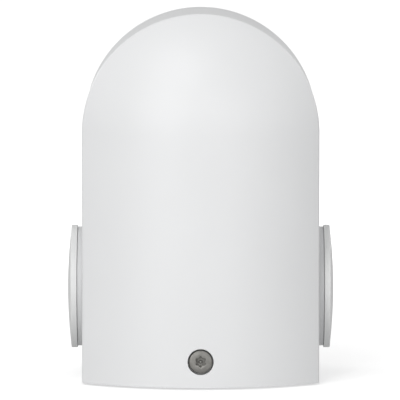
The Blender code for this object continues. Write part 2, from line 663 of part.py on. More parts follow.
def coax_lead(name, route):
    """A thin tube with a round snap-on plug at its board end."""
    curve = bpy.data.curves.new(name, "CURVE")
    curve.dimensions = "3D"
    curve.bevel_depth = 0.6 * MM
    curve.bevel_resolution = 1
    curve.use_fill_caps = True
    points = smooth_route(route, 5)
    spline = curve.splines.new("POLY")
    spline.points.add(len(points) - 1)
    for made, point in zip(spline.points, points):
        made.co = (*(point * MM), 1)
    guide = bpy.data.objects.new(name, curve)
    PARTS.objects.link(guide)
    bpy.context.view_layer.update()
    mesh = bpy.data.meshes.new_from_object(guide.evaluated_get(bpy.context.evaluated_depsgraph_get()))
    bpy.data.objects.remove(guide)
    bm = bmesh.new()
    bm.from_mesh(mesh)
    lead = add(name, to_mesh(name, bm), COAX)
    x, _, z = route[-1]
    return join(lead, cylinder("tool", 1.5, (x, -3.6, z), (x, BOARD_FRONT - GAP, z), steps=12))


def build():
    front_cover()
    rear_housing()
    seal_and_feet()
    cover_screw()
    for side, word in ((-1, "left"), (1, "right")):
        pivot_set(side, word)
    bracket()
    port_tray()
    port_cover()
    sockets()
    reset_parts()
    main_board()
    shielding()
    heat_sink()
    status_light()
    antenna_carrier()
    antennas()


build()
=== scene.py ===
"""Fine meshes and procedural materials for the mesh wifi node, in a plain studio.

The helpers take millimetres and turn them into metres. The front faces -Y, and z = 0 is the floor.
"""

import json
import math

import bmesh
import bpy
from mathutils import Matrix, Vector


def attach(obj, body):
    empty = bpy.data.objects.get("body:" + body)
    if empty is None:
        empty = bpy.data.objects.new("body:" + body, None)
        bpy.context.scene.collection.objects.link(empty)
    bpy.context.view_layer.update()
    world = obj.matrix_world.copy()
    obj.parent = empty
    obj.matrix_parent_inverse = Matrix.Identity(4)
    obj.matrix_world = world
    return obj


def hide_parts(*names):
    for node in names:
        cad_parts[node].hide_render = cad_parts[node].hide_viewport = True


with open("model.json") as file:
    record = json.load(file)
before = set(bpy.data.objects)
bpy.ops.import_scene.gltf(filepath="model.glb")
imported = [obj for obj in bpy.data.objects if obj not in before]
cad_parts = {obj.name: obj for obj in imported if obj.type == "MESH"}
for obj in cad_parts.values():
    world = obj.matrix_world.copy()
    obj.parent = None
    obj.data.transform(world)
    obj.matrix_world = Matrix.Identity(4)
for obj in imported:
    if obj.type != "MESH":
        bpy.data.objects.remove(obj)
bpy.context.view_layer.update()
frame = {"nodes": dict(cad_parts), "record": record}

NODES = frame["nodes"]
MM = 0.001
MERGE = 1e-6  # metres
OVER = 1.0  # how far a cutter runs past the face it opens
FAR = 60.0  # beyond the housing and the bracket on every level side
X, Y, Z = Vector((1, 0, 0)), Vector((0, 1, 0)), Vector((0, 0, 1))
SIDES = ((-1, "left"), (1, "right"))

# --- the part's own sizes ---
HALF_WIDTH = 50.0
HOUSING_BOTTOM = 0.8
ARCH_CENTRE = 106.6  # height of the arch's centre
FRONT_APEX = -52.0  # y of the bulge's foremost line
FRONT_EDGE = -33.0  # y where the bulge would meet the flat sides
SEAM = -30.0
COVER_SEAM = -30.3
BACK = 33.0
WALL = 2.5
CREASE_RADIUS = 2.0
BACK_RADIUS = 5.0
LOWER_EDGE = 0.9  # width of the rounding between the skin and the underside
PIVOT_Z = 38.6
PIN_TRACK = 19.0  # from the pivot to the tilt stop pin
PIN_RADIUS = 1.8
TILT_LIMIT = 20.0  # degrees
CAP_RADIUS = 26.2
CAP_BASE = 52.7
SKIRT_END = 52.45  # the cap's thin skirt reaches past its base, almost to the arm
ARM_INNER = 50.15
ARM_OUTER = 52.3
ARM_RADIUS = 25.45
PLATE_BACK = 52.0
PLATE_HALF_HEIGHT = 20.0
BEND_RADIUS = 5.0
SCREW_Z = 11.7
HEAD_RADIUS = 4.95
HEAD_HEIGHT = 3.3
HEAD_UNDERSIDE = FRONT_APEX + 4.3
COUNTERBORE_RADIUS = 5.45
BAY_TOP = 32.0
BAY_FRONT = 2.0
BAY_HALF_WIDTH = 27.0
JACK_X = 12.0
FEET = [(x, y) for y in (-20.0, 24.0) for x in (-40.0, 40.0)]
CORD_HOLE_Z = 10.0
BULGE_RADIUS = (HALF_WIDTH**2 + (FRONT_EDGE - FRONT_APEX) ** 2) / (2 * (FRONT_EDGE - FRONT_APEX))
BULGE_CENTRE = FRONT_APEX + BULGE_RADIUS
CREASE_X = HALF_WIDTH - CREASE_RADIUS
CREASE_START = math.asin(CREASE_X / (BULGE_RADIUS - CREASE_RADIUS))
BULGE_REACH = BULGE_RADIUS * math.sin(CREASE_START)  # half-width where the bulge meets the crease
CREASE_Y = BULGE_CENTRE - (BULGE_RADIUS - CREASE_RADIUS) * math.cos(CREASE_START)

ARCH_STEPS = 96
BULGE_STEPS = 28
ROUND_STEPS = 96
SKIN_TOLERANCE = 0.02  # how near a point on the skin lies to its true surface
SNUG = 0.01  # how near a point on a flat face lies to it


# --- node trees ---
class Tree:
    """Shorthand for building a material's nodes."""

    def __init__(self, name):
        self.material = bpy.data.materials.new(name)
        self.material.use_nodes = True
        self.tree = self.material.node_tree
        self.shader = self.tree.nodes["Principled BSDF"]
        self.place = self.node("ShaderNodeTexCoord").outputs["Object"]

    def node(self, kind, **values):
        made = self.tree.nodes.new(kind)
        for name, value in values.items():
            setattr(made, name, value)
        return made

    def link(self, source, target):
        self.tree.links.new(source, target)

    def stretched(self, scale):
        mapping = self.node("ShaderNodeMapping")
        self.link(self.place, mapping.inputs["Vector"])
        mapping.inputs["Scale"].default_value = scale
        return mapping.outputs["Vector"]

    def noise(self, scale, detail=2.0, roughness=0.5, vector=None):
        made = self.node("ShaderNodeTexNoise")
        self.link(vector or self.place, made.inputs["Vector"])
        made.inputs["Scale"].default_value = scale
        made.inputs["Detail"].default_value = detail
        made.inputs["Roughness"].default_value = roughness
        return made.outputs["Fac"]

    def span(self, factor, low, high, start=0.3, end=0.7):
        """A number from low to high as the factor goes from start to end."""
        made = self.node("ShaderNodeMapRange")
        self.link(factor, made.inputs["Value"])
        for name, value in (("From Min", start), ("From Max", end), ("To Min", low), ("To Max", high)):
            made.inputs[name].default_value = value
        return made.outputs["Result"]

    def ramp(self, factor, stops):
        made = self.node("ShaderNodeValToRGB")
        self.link(factor, made.inputs["Fac"])
        elements = made.color_ramp.elements
        while len(elements) < len(stops):
            elements.new(0.5)
        for element, (position, colour) in zip(elements, stops):
            element.position = position
            element.color = (*colour, 1.0)
        return made.outputs["Color"]

    def bump(self, height, strength, distance, under=None):
        made = self.node("ShaderNodeBump")
        self.link(height, made.inputs["Height"])
        made.inputs["Strength"].default_value = strength
        made.inputs["Distance"].default_value = distance
        if under is not None:
            self.link(under, made.inputs["Normal"])
        return made.outputs["Normal"]

    def set(self, **values):
        for name, value in values.items():
            socket = self.shader.inputs[name.replace("_", " ")]
            if isinstance(value, bpy.types.NodeSocket):
                self.link(value, socket)
            else:
                socket.default_value = value
        return self.material


def shade(colour, factor):
    return tuple(min(1.0, channel * factor) for channel in colour)


def mottled(tree, colour, scale, spread):
    """The colour, varied a little in soft patches."""
    darker, lighter = shade(colour, 1 - spread), shade(colour, 1 + spread)
    return tree.ramp(tree.noise(scale, 3), [(0.35, darker), (0.65, lighter)])


def plastic(name, colour, roughness, grain, depth):
    """Moulded plastic: spark-eroded grain, its depth in millimetres, over a very slight waviness."""
    tree = Tree(name)
    wave = tree.bump(tree.noise(45, 1), 0.04, 0.0006)
    texture = tree.bump(tree.noise(grain, 3, 0.6), 0.35, depth * MM, wave)
    rough = tree.span(tree.noise(160, 4), roughness - 0.03, roughness + 0.03)
    return tree.set(Base_Color=mottled(tree, colour, 30, 0.006), Roughness=rough, Normal=texture)


def powder_coat(name, colour):
    """Baked paint with a faint orange peel and a fine speckle."""
    tree = Tree(name)
    peel = tree.bump(tree.noise(900, 2, 0.4), 0.5, 0.00006)
    speck = tree.bump(tree.noise(4200, 2), 0.25, 0.00002, peel)
    rough = tree.span(tree.noise(300, 3), 0.42, 0.52)
    return tree.set(Base_Color=mottled(tree, colour, 60, 0.012), Roughness=rough, Normal=speck)


def rubber(name, colour):
    """Dull rubber with a fine grain, a little dusty."""
    tree = Tree(name)
    grain = tree.bump(tree.noise(2600, 4, 0.65), 0.6, 0.00005)
    rough = tree.span(tree.noise(220, 3), 0.68, 0.85)
    dusty = mottled(tree, colour, 180, 0.12)
    return tree.set(Base_Color=dusty, Roughness=rough, Normal=grain)


def metal(name, colour, roughness, scratch_scale=(1, 1, 1), spread=0.06, metallic=1.0):
    """Plated or machined metal, with fine lines along the short scale's axis and dull patches."""
    tree = Tree(name)
    lines = tree.noise(2200, 3, 0.6, tree.stretched(scratch_scale))
    patches = tree.noise(420, 4, 0.6)
    surface = tree.bump(lines, 0.25, 0.00003)
    rough = tree.span(patches, roughness - 0.08, roughness + 0.1)
    tarnished = mottled(tree, colour, 700, spread)
    return tree.set(Base_Color=tarnished, Metallic=metallic, Roughness=rough, Normal=surface)


def circuit_board(name):
    """Green solder mask over copper tracks, with tinned pads."""
    tree = Tree(name)
    tracks = tree.node("ShaderNodeTexVoronoi", feature="DISTANCE_TO_EDGE")
    tree.link(tree.stretched((1, 0, 1)), tracks.inputs["Vector"])
    tracks.inputs["Scale"].default_value = 420
    copper = tree.span(tracks.outputs["Distance"], 1.0, 0.0, 0.06, 0.12)
    pads = tree.node("ShaderNodeTexVoronoi", feature="F1")
    tree.link(tree.stretched((1, 0, 1)), pads.inputs["Vector"])
    pads.inputs["Scale"].default_value = 330
    tinned = tree.span(pads.outputs["Distance"], 1.0, 0.0, 0.10, 0.14)
    mask = tree.ramp(copper, [(0.0, (0.008, 0.09, 0.04)), (1.0, (0.03, 0.22, 0.09))])
    both = tree.node("ShaderNodeMix", data_type="RGBA")
    tree.link(tinned, both.inputs["Factor"])
    tree.link(mask, both.inputs["A"])
    both.inputs["B"].default_value = (0.75, 0.75, 0.72, 1)
    rough = tree.span(tinned, 0.35, 0.25, 0, 1)
    relief = tree.bump(copper, 0.4, 0.00004)
    return tree.set(Base_Color=both.outputs["Result"], Roughness=rough, Normal=relief)


def clear_polymer(name):
    """Clear acrylic."""
    tree = Tree(name)
    rough = tree.span(tree.noise(500, 3), 0.1, 0.18)
    tree.set(Roughness=rough, Base_Color=mottled(tree, (0.92, 0.94, 0.95), 90, 0.01))
    tree.shader.inputs["Transmission Weight"].default_value = 0.9
    tree.shader.inputs["IOR"].default_value = 1.49
    return tree.material


def coax_sheath(name):
    """A dark woven sheath."""
    tree = Tree(name)
    weave = tree.node("ShaderNodeTexWave", bands_direction="DIAGONAL")
    tree.link(tree.place, weave.inputs["Vector"])
    weave.inputs["Scale"].default_value = 900
    cloth = tree.bump(weave.outputs["Fac"], 0.5, 0.00004)
    rough = tree.span(tree.noise(600, 2), 0.4, 0.55)
    return tree.set(Base_Color=mottled(tree, (0.05, 0.05, 0.055), 400, 0.15), Roughness=rough, Normal=cloth)


LOOKS = {
    "white_polymer": plastic("white_polymer", (0.80, 0.806, 0.812), 0.38, 3400, 0.02),
    "cap_polymer": plastic("cap_polymer", (0.77, 0.776, 0.772), 0.40, 3800, 0.015),
    "bracket_paint": powder_coat("bracket_paint", (0.69, 0.695, 0.70)),
    "grey_rubber": rubber("grey_rubber", (0.10, 0.10, 0.105)),
    "seal_rubber": rubber("seal_rubber", (0.03, 0.03, 0.03)),
    "screw_steel": metal("screw_steel", (0.25, 0.245, 0.23), 0.5, (1, 1, 0.2), 0.08, 0.85),
    "brass": metal("brass", (0.72, 0.55, 0.28), 0.32, (1, 1, 0.1)),
    "aluminium": metal("aluminium", (0.76, 0.77, 0.79), 0.38, (1, 1, 0.05), 0.03),
    "tin_plate": metal("tin_plate", (0.66, 0.66, 0.65), 0.3, (0.15, 1, 1), 0.04),
    "board_laminate": circuit_board("board_laminate"),
    "black_polymer": plastic("black_polymer", (0.022, 0.022, 0.024), 0.45, 2600, 0.03),
    "thermal_pad": rubber("thermal_pad", (0.42, 0.5, 0.6)),
    "clear_polymer": clear_polymer("clear_polymer"),
    "coax_sheath": coax_sheath("coax_sheath"),
}
GOLD = metal("contact_gold", (0.95, 0.72, 0.32), 0.22, (1, 1, 0.1), 0.03)


# --- mesh helpers ---
def to_mesh(name, bm):
    bmesh.ops.remove_doubles(bm, verts=bm.verts, dist=MERGE)
    bmesh.ops.recalc_face_normals(bm, faces=bm.faces)
    mesh = bpy.data.meshes.new(name)
    bm.to_mesh(mesh)
    bm.free()
    return mesh


def add(name, mesh):
    obj = bpy.data.objects.new(name, mesh)
    bpy.context.scene.collection.objects.link(obj)
    return obj


def bake(obj):
    """The object's modifiers, applied."""
    graph = bpy.context.evaluated_depsgraph_get()
    mesh = bpy.data.meshes.new_from_object(obj.evaluated_get(graph))
    obj.modifiers.clear()
    bm = bmesh.new()
    bm.from_mesh(mesh)
    bmesh.ops.remove_doubles(bm, verts=bm.verts, dist=MERGE)
    bmesh.ops.dissolve_degenerate(bm, edges=bm.edges, dist=MERGE)
    bm.to_mesh(mesh)
    bm.free()
    obj.data = mesh
    return obj


def combine(target, operation, tools):
    group = bpy.data.collections.new("tools")
    for tool in tools:
        group.objects.link(tool)
    modifier = target.modifiers.new(operation, "BOOLEAN")
    modifier.operation = operation
    modifier.solver = "EXACT"
    modifier.operand_type = "COLLECTION"
    modifier.collection = group
    bake(target)
    for tool in tools:
        bpy.data.objects.remove(tool)
    bpy.data.collections.remove(group)
    return target


def cut(target, *tools):
    return combine(target, "DIFFERENCE", tools)


def join(target, *tools):
    return combine(target, "UNION", tools)


def box(name, low, high):
    low, high = Vector(low) * MM, Vector(high) * MM
    place = Matrix.Translation((low + high) / 2) @ Matrix.Diagonal((*(high - low), 1))
    bm = bmesh.new()
    bmesh.ops.create_cube(bm, size=1, matrix=place)
    return add(name, to_mesh(name, bm))


def towards(direction, origin):
    """The matrix that takes +Z to the direction, at the origin."""
    turn = Vector(direction).to_track_quat("Z", "Y").to_matrix().to_4x4()
    return Matrix.Translation(Vector(origin) * MM) @ turn


def cylinder(name, radius, start, end, steps=48):
    start, end = Vector(start), Vector(end)
    along = end - start
    bm = bmesh.new()
    bmesh.ops.create_cone(
        bm,
        cap_ends=True,
        segments=steps,
        radius1=radius * MM,
        radius2=radius * MM,
        depth=along.length * MM,
        matrix=towards(along, (start + end) / 2),
    )
    return add(name, to_mesh(name, bm))


def turned(name, profile, origin, direction, steps=ROUND_STEPS):
    """A (radius, height) profile turned about the direction."""
    closed = profile[0][0] > 0 or profile[-1][0] > 0
    bm = bmesh.new()
    rings = []
    for r, h in profile:
        count = steps if r > 0 else 1
        angles = [2 * math.pi * i / steps for i in range(count)]
        rings.append([bm.verts.new(Vector((r * math.cos(a), r * math.sin(a), h)) * MM) for a in angles])
    if closed:
        rings.append(rings[0])
    for upper, lower in zip(rings, rings[1:]):
        for i in range(steps):
            j = (i + 1) % steps
            corners = [upper[i % len(upper)], upper[j % len(upper)]]
            corners += [lower[j % len(lower)], lower[i % len(lower)]]
            corners = list(dict.fromkeys(corners))
            if len(corners) > 2:
                bm.faces.new(corners)
    bmesh.ops.transform(bm, matrix=towards(direction, origin), verts=bm.verts)
    return add(name, to_mesh(name, bm))


def prism(name, outline, along, low, high):
    """A flat outline extruded along X, Y or Z. Its two numbers are the other two axes in X, Y, Z order."""
    place = {
        "X": lambda u, v, depth: (depth, u, v),
        "Y": lambda u, v, depth: (u, depth, v),
        "Z": lambda u, v, depth: (u, v, depth),
    }[along]
    bm = bmesh.new()
    face = bm.faces.new([bm.verts.new(Vector(place(u, v, low)) * MM) for u, v in outline])
    raised = bmesh.ops.extrude_face_region(bm, geom=[face])["geom"]
    lift = Vector(place(0, 0, high - low)) * MM
    bmesh.ops.translate(bm, verts=[v for v in raised if isinstance(v, bmesh.types.BMVert)], vec=lift)
    return add(name, to_mesh(name, bm))


def on_circle(centre, radius, degrees):
    angle = math.radians(degrees)
    return centre[0] + radius * math.cos(angle), centre[1] + radius * math.sin(angle)


def arc(centre, radius, first, last, steps):
    """Points on a circle from the first angle to the last, in degrees."""
    return [on_circle(centre, radius, first + (last - first) * i / steps) for i in range(steps + 1)]


def round_ended(x, low, high, half_width):
    """The outline of an upright slot with half-round ends."""
    outline = arc((x, high - half_width), half_width, 0, 180, 8)
    return outline + arc((x, low + half_width), half_width, 180, 360, 8)


def rounded(points, radius, steps):
    """A polyline with its inner corners rounded, each by less than half of its shorter side."""
    out = [points[0]]
    for before, corner, after in zip(points, points[1:], points[2:]):
        before, corner, after = Vector(before), Vector(corner), Vector(after)
        back, ahead = before - corner, after - corner
        r = min(radius, back.length * 0.45, ahead.length * 0.45)
        start, end = corner + back.normalized() * r, corner + ahead.normalized() * r
        for i in range(steps + 1):
            t = i / steps
            out.append(tuple((1 - t) ** 2 * start + 2 * t * (1 - t) * corner + t**2 * end))
    return out + [points[-1]]


def arch_solid(name, profile, bottom, steps=ARCH_STEPS):
    """A (half-width, y) profile turned half round the arch's centre and run straight down to the bottom."""
    bm = bmesh.new()
    points = [bm.verts.new(Vector((r, y, ARCH_CENTRE)) * MM) for r, y in profile]
    edges = [bm.edges.new(pair) for pair in zip(points, points[1:])]
    spun = bmesh.ops.spin(
        bm, geom=points + edges, cent=(0, 0, ARCH_CENTRE * MM), axis=(0, -1, 0), angle=math.pi, steps=steps
    )
    ends = edges + [e for e in spun["geom_last"] if isinstance(e, bmesh.types.BMEdge)]
    lowered = bmesh.ops.extrude_edge_only(bm, edges=ends)["geom"]
    drop = Vector((0, 0, bottom - ARCH_CENTRE)) * MM
    bmesh.ops.translate(bm, verts=[v for v in lowered if isinstance(v, bmesh.types.BMVert)], vec=drop)
    for vert in bm.verts:
        vert.co = [round(value, 7) for value in vert.co]
    bmesh.ops.remove_doubles(bm, verts=bm.verts, dist=MERGE)
    bmesh.ops.dissolve_degenerate(bm, edges=bm.edges, dist=MERGE)
    bmesh.ops.holes_fill(bm, edges=[e for e in bm.edges if e.is_boundary], sides=0)
    bmesh.ops.dissolve_limit(bm, angle_limit=math.radians(0.02), verts=bm.verts, edges=bm.edges)
    return add(name, to_mesh(name, bm))


def slab(half_width, front, back, bottom):
    """A cutter of the housing's arched outline, at the half-width given."""
    outline = arc((0, ARCH_CENTRE), half_width, 0, 180, ARCH_STEPS)
    outline += [(-half_width, bottom), (half_width, bottom)]
    return prism("tool", outline, "Y", front, back)


def arch_ring(half_width, inner, front, back, bottom):
    hole = slab(inner, front - OVER, back + OVER, bottom + half_width - inner)
    return cut(slab(half_width, front, back, bottom), hole)


def slice_level(obj, height):
    """Adds a level loop of edges, so that no face runs on from a busy stretch into a plain one."""
    bm = bmesh.new()
    bm.from_mesh(obj.data)
    everything = bm.verts[:] + bm.edges[:] + bm.faces[:]
    bmesh.ops.bisect_plane(bm, geom=everything, plane_co=Z * height * MM, plane_no=Z)
    bm.to_mesh(obj.data)
    bm.free()


def bevel(obj, width, chosen, segments):
    """Rounds the edges that chosen(edge) picks, by a width in millimetres."""
    bm = bmesh.new()
    bm.from_mesh(obj.data)
    picked = [e for e in bm.edges if len(e.link_faces) == 2 and chosen(e)]
    bmesh.ops.bevel(
        bm,
        geom=picked,
        offset=width * MM,
        segments=segments,
        profile=0.5,
        affect="EDGES",
        clamp_overlap=True,
    )
    bm.to_mesh(obj.data)
    bm.free()
    return obj


def soften(obj, width, angle, segments):
    """Rounds every edge sharper than the angle."""
    made = obj.modifiers.new("edges", "BEVEL")
    made.width = width * MM
    made.segments = segments
    made.limit_method = "ANGLE"
    made.angle_limit = math.radians(angle)
    return bake(obj)


def smooth(obj, angle=35):
    """Smooth shading that leans on the larger faces, with edges sharper than the angle left sharp."""
    obj.data.shade_smooth()
    obj.data.set_sharp_from_angle(angle=math.radians(angle))
    weighted = obj.modifiers.new("normals", "WEIGHTED_NORMAL")
    weighted.keep_sharp = True
    weighted.weight = 60
    graph = bpy.context.evaluated_depsgraph_get()
    mesh = bpy.data.meshes.new_from_object(obj.evaluated_get(graph))
    obj.modifiers.clear()
    obj.data = mesh
    return obj


def skin_normal(point):
    """The housing's true outward direction at a point on its outer skin, or None away from it."""
    x, y, z = point
    radial = Vector((x, 0, max(z - ARCH_CENTRE, 0.0)))
    r = radial.length
    from_centre = Vector((radial.x, y - BULGE_CENTRE, radial.z))
    on_bulge = abs(from_centre.length - BULGE_RADIUS) < SKIN_TOLERANCE
    if on_bulge and y < BULGE_CENTRE and r <= BULGE_REACH + 0.05:
        return from_centre.normalized()
    if r < 1e-6:
        return None
    outward = radial / r
    for centre_x, centre_y, radius, front in (
        (CREASE_X, CREASE_Y, CREASE_RADIUS, True),
        (HALF_WIDTH - BACK_RADIUS, BACK - BACK_RADIUS, BACK_RADIUS, False),
    ):
        ahead = y < centre_y if front else y > centre_y
        across = outward * (r - centre_x) + Y * (y - centre_y)
        if ahead and r > centre_x - SNUG and abs(across.length - radius) < SKIN_TOLERANCE:
            return across.normalized()
    if abs(r - HALF_WIDTH) < SKIN_TOLERANCE:
        return outward
    return None


def true_skin(obj):
    """Gives the corners on the housing's skin their exact normals, so that no facet shows."""
    mesh = obj.data
    normals = [Vector(corner.vector) for corner in mesh.corner_normals]
    for face in mesh.polygons:
        for loop in face.loop_indices:
            exact = skin_normal(mesh.vertices[mesh.loops[loop].vertex_index].co / MM)
            if exact is not None and exact.dot(face.normal) > 0.9:
                normals[loop] = exact
    mesh.normals_split_custom_set(normals)
    return obj


def dress(obj, body, slot, node=None, look=None):
    """Gives a piece its material and its body, and hides the CAD node that it stands for, if any."""
    obj.data.materials.clear()
    obj.data.materials.append(look or LOOKS[slot])
    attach(obj, body)
    if node:
        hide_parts(node)
    return obj


# --- housing ---
def bulge_profile(half_width, apex, edge, steps, reach=None):
    """The bulge's arc as (half-width, y) points, out to its own half-width or to the reach."""
    rise = edge - apex
    radius = (half_width**2 + rise**2) / (2 * rise)
    end = math.asin((reach or half_width) / radius)
    angles = [end * i / steps for i in range(steps + 1)]
    return [(radius * math.sin(a), apex + radius * (1 - math.cos(a))) for a in angles]


def low_outer_edge(edge):
    """The edges where the skin meets the flat underside."""
    level = all(abs(v.co.z / MM - HOUSING_BOTTOM) < SNUG for v in edge.verts)
    under = any(f.normal.z < -0.9 for f in edge.link_faces)
    upright = [f for f in edge.link_faces if abs(f.normal.z) < 0.1]
    return level and under and bool(upright) and all(skin_normal(v.co / MM) is not None for v in edge.verts)


def from_screw_axis(vert):
    """A point's distance in millimetres from the cover screw's axis."""
    return math.hypot(vert.co.x / MM, vert.co.z / MM - SCREW_Z)


def front_cover():
    """The bulged shell, its lip into the rear housing, and the screw's boss and counterbore."""
    seam, lip_outer, lip_inner, lip_end = COVER_SEAM, 44.2, 42.7, SEAM + 3.5
    fillet = arc((CREASE_X, CREASE_Y), CREASE_RADIUS, math.degrees(CREASE_START) - 90, 0, 8)
    profile = bulge_profile(HALF_WIDTH, FRONT_APEX, FRONT_EDGE, BULGE_STEPS, BULGE_REACH)[:-1] + fillet
    profile += [(HALF_WIDTH, seam - 0.25), (HALF_WIDTH - 0.08, seam - 0.06), (HALF_WIDTH - 0.25, seam)]
    profile += [(lip_outer, seam), (lip_outer, lip_end), (0, lip_end)]
    cover = arch_solid("front_shell", profile, HOUSING_BOTTOM)
    for height in (3.0, 21.0):
        slice_level(cover, height)
    bevel(cover, LOWER_EDGE, low_outer_edge, 4)

    below_lip = box("tool", (-FAR, seam, -OVER), (FAR, 0, 6.6))
    post_notch = box("tool", (-9.6, seam, -OVER), (9.6, 0, 20))
    inner, cavity_back = 47.0, SEAM - 3.3
    cavity_profile = bulge_profile(inner, FRONT_APEX + WALL, FRONT_EDGE - WALL, 16)
    cavity = arch_solid("tool", cavity_profile + [(inner, cavity_back), (0, cavity_back)], 3.8, 64)
    mouth = slab(lip_inner, cavity_back - OVER, lip_end + OVER, 8.1)
    cut(cover, below_lip, post_notch, cavity, mouth)

    boss_radius, clearance_radius, seat = 7.0, 2.9, FRONT_APEX + 4.6
    join(cover, cylinder("tool", boss_radius, (0, FRONT_APEX + 1.5, SCREW_Z), (0, seam, SCREW_Z)))
    counterbore = cylinder("tool", COUNTERBORE_RADIUS, (0, -FAR, SCREW_Z), (0, seat, SCREW_Z), 96)
    clearance = cylinder("tool", clearance_radius, (0, -50, SCREW_Z), (0, -20, SCREW_Z))
    cut(cover, counterbore, clearance)

    def counterbore_rim(edge):
        return all(
            abs(from_screw_axis(v) - COUNTERBORE_RADIUS) < SKIN_TOLERANCE and v.co.y / MM < FRONT_APEX + 1
            for v in edge.verts
        )

    bevel(cover, 0.12, counterbore_rim, 3)
    dress(true_skin(smooth(cover)), "housing", "white_polymer", "front_cover")


def rod_at_pivot(side, radius, low, high):
    """A cylinder on the pivot line, from low to high millimetres out on one side."""
    return cylinder("tool", radius, (side * low, 0, PIVOT_Z), (side * high, 0, PIVOT_Z), 64)


def rear_housing():
    """The rear shell with its posts, pivots, stop pins, bay opening and grooves."""
    profile = [(0, SEAM), (HALF_WIDTH - 0.25, SEAM)]
    profile += [(HALF_WIDTH - 0.08, SEAM + 0.06), (HALF_WIDTH, SEAM + 0.25)]
    profile += arc((HALF_WIDTH - BACK_RADIUS, BACK - BACK_RADIUS), BACK_RADIUS, 0, 90, 12)
    housing = arch_solid("rear_shell", profile + [(0, BACK)], HOUSING_BOTTOM)
    bevel(housing, LOWER_EDGE, low_outer_edge, 4)
    cavity = slab(HALF_WIDTH - WALL, SEAM + 4, BACK - WALL, 3.3)
    mouth = slab(44.5, SEAM - OVER, SEAM + 5, 6.3)
    cut(housing, cavity, mouth)

    screw_post = box("tool", (-9, SEAM, 1.8), (9, -14, 19))
    join(housing, screw_post)
    past_back = BACK + OVER
    bay_mouth = box("tool", (-BAY_HALF_WIDTH, BAY_FRONT, -OVER), (BAY_HALF_WIDTH, past_back, 5))
    cord_notch = box("tool", (-BAY_HALF_WIDTH, 29, 1), (BAY_HALF_WIDTH, past_back, 16.3))
    cover_grooves = box("tool", (-28.8, BAY_FRONT, 2.2), (28.8, past_back, 4.0))
    insert_hole = cylinder("tool", 4.3, (0, SEAM - OVER, SCREW_Z), (0, -19.5, SCREW_Z), 32)
    cut(housing, bay_mouth, cord_notch, cover_grooves, insert_hole)
    gasket_groove = arch_ring(48.4, 46.4, SEAM - OVER, SEAM + 1.6, 2.4)
    cut(housing, gasket_groove)

    posts = [(x, z) for z in (62.0, 118.0) for x in (-36.0, 36.0)]
    join(housing, *[cylinder("tool", 4.0, (x, 1.6, z), (x, 32, z), 32) for x, z in posts])
    cut(housing, *[cylinder("tool", 1.8, (x, 0, z), (x, 10, z), 24) for x, z in posts])
    pin_z = PIVOT_Z + PIN_TRACK
    for side, _ in SIDES:
        join(housing, rod_at_pivot(side, 9.5, 35.5, 48.8))
        disc_pocket = rod_at_pivot(side, 15.3, 48.5, FAR)
        stud_hole = rod_at_pivot(side, 4.6, 44, 55)
        pivot_insert_hole = rod_at_pivot(side, 6.3, 36.7, 47.3)
        cut(housing, disc_pocket, stud_hole, pivot_insert_hole)
        join(housing, cylinder("tool", PIN_RADIUS, (side * 49, 0, pin_z), (side * 51.9, 0, pin_z), 32))
    vent_hole = [(0, 6), (2.0, 6), (2.0, 2.1), (4.3, 2.1), (4.3, 0), (0, 0)]
    vent = turned("tool", vent_hole, (0, -12, 0), Z, 48)
    foot_recesses = [cylinder("tool", 5.3, (x, y, -OVER), (x, y, 2.3)) for x, y in FEET]
    cut(housing, vent, *foot_recesses, *back_grooves())
    soften_openings(housing)
    dress(true_skin(smooth(housing)), "housing", "white_polymer", "rear_housing")


def port_tray():
    """The walls and roof of the port bay, open around the sockets and the reset button."""
    tray = box("port_tray_fine", (-30.2, 0, 4.0), (30.2, 30.2, BAY_TOP + 2))
    below, above = BAY_TOP - OVER, BAY_TOP + 3
    tools = [
        box("tool", (-BAY_HALF_WIDTH, BAY_FRONT, 3), (BAY_HALF_WIDTH, BACK, BAY_TOP)),
        box("tool", (21.7, 1.3, below), (25.5, 10.9, above)),
        cylinder("tool", 2.3, (0, 8, below), (0, 8, above), 32),
    ]
    for side, _ in SIDES:
        x = side * JACK_X
        tools.append(box("tool", (x - 8.3, 1.3, below), (x + 8.3, 15.4, above)))
    cut(tray, *tools)
    soften(tray, 0.3, 50, 2)
    dress(smooth(tray), "housing", "white_polymer", "port_tray")


def back_grooves():
    """Nine round-ended upright grooves; the outer ones are shorter, to follow the arch."""
    spacing, low, half_width, arch_radius = 7.0, 74.0, 1.1, 36.0
    grooves = []
    for i in range(-4, 5):
        x = i * spacing
        top = ARCH_CENTRE + math.sqrt(arch_radius**2 - x**2)
        grooves.append(prism("tool", round_ended(x, low, top, half_width), "Y", BACK - 0.9, BACK + OVER))
    return grooves


def soften_openings(housing):
    """Rounds the rims of the grooves, the cable notch and the bay's mouth."""

    def rim(edge):
        ends = [v.co / MM for v in edge.verts]
        back = all(abs(p.y - BACK) < SNUG for p in ends)
        under = all(abs(p.z - HOUSING_BOTTOM) < SNUG and p.y > SEAM + 2 for p in ends)
        turn = edge.calc_face_angle(0)
        return (back or under) and turn > math.radians(50)

    bevel(housing, 0.25, rim, 2)


def six_lobes():
    """The recess's outline: six round lobes about the screw's axis."""
    mean_radius, swing, steps = 1.94, 0.31, 96
    outline = []
    for i in range(steps):
        a = 2 * math.pi * i / steps
        r = mean_radius + swing * math.cos(6 * a)
        outline.append((r * math.sin(a), SCREW_Z + r * math.cos(a)))
    return outline


